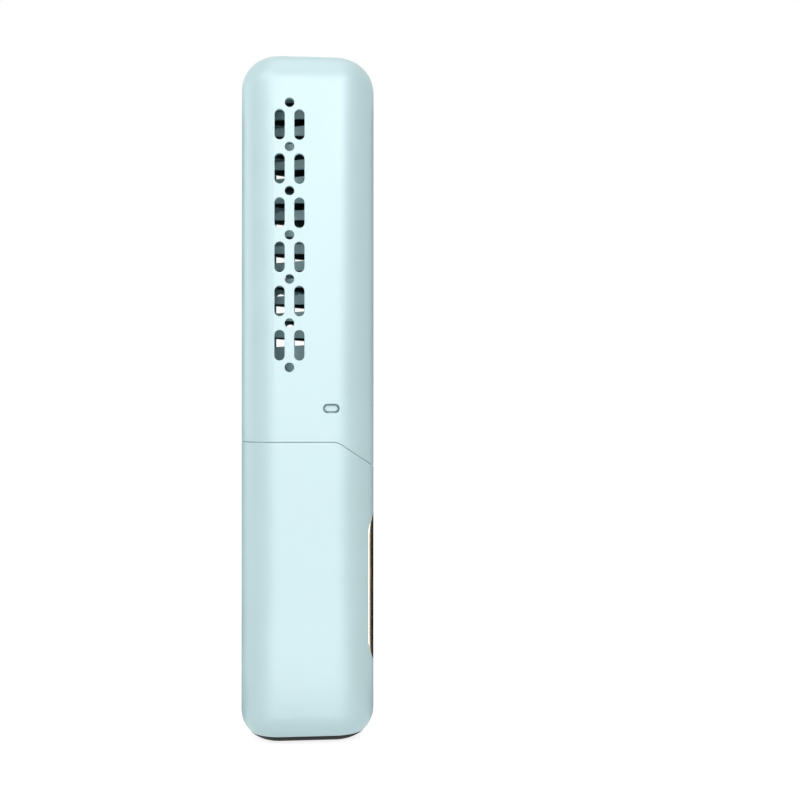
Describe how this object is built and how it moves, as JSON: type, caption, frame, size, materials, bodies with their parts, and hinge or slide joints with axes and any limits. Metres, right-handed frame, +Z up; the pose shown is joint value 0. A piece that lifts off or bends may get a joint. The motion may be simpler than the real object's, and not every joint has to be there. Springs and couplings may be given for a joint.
{
  "type": "hot comb",
  "caption": "Cordless hot comb with an upright oval handle, a toothed heating comb, a side power button, a gold trim plate and a vented cap that pulls off upward.",
  "frame": {"origin": "centre of the underside of the base", "axes": "+Z up the handle to the comb, -Y the face with the latch window, -X the side of the teeth, +X the spine side with the power button and the trim plate"},
  "size_m": [0.04, 0.026, 0.206],
  "materials": {
    "mint_plastic": "satin moulded plastic",
    "base_plastic": "matte dark plastic",
    "frame_plastic": "plain moulded plastic",
    "gold_plate": "gold anodised",
    "gold_button": "gold coated plastic",
    "dark_comb": "dark coated metal",
    "heater_ceramic": "fired ceramic",
    "amber_sheet": "heat-proof film",
    "steel": "plated steel",
    "copper": "bare copper",
    "cell_can": "wrapped cell",
    "board": "circuit board",
    "black_plastic": "black moulded plastic",
    "glass_bead": "sealed bead"
  },
  "bodies": {
    "handset": {"handle_sleeve": "mint_plastic", "front_comb_shell": "mint_plastic", "rear_comb_shell": "mint_plastic", "base_cover": "base_plastic", "trim_plate": "gold_plate", "trim_tape": "black_plastic", "heating_comb": "dark_comb", "push_switch": "black_plastic", "key_board": "board", "inner_frame": "frame_plastic", "frame_screws": "steel", "base_screws": "steel", "heater_strip": "heater_ceramic", "heater_sheet": "amber_sheet", "heater_clamp": "steel", "heat_sensor": "glass_bead", "thermal_fuse": "heater_ceramic", "heater_leads": "copper", "battery_cell": "cell_can", "upper_tab": "steel", "lower_tab": "steel", "main_board": "board", "boost_coil": "black_plastic", "control_chips": "black_plastic", "charging_socket": "steel", "socket_tongue": "black_plastic"},
    "cap": {"cap_shell": "mint_plastic"},
    "button": {"power_button": "gold_button", "switch_plunger": "black_plastic"}
  },
  "joints": [
    {"name": "cap_pull", "type": "slide", "parent": "handset", "child": "cap", "axis": [0, 0, 1], "range_m": [0, 0.13]},
    {"name": "button_press", "type": "slide", "parent": "handset", "child": "button", "axis": [-1, 0, 0], "range_m": [0, 0.0007], "stiffness_N_per_m": 600, "springref_m": -0.001}
  ]
}
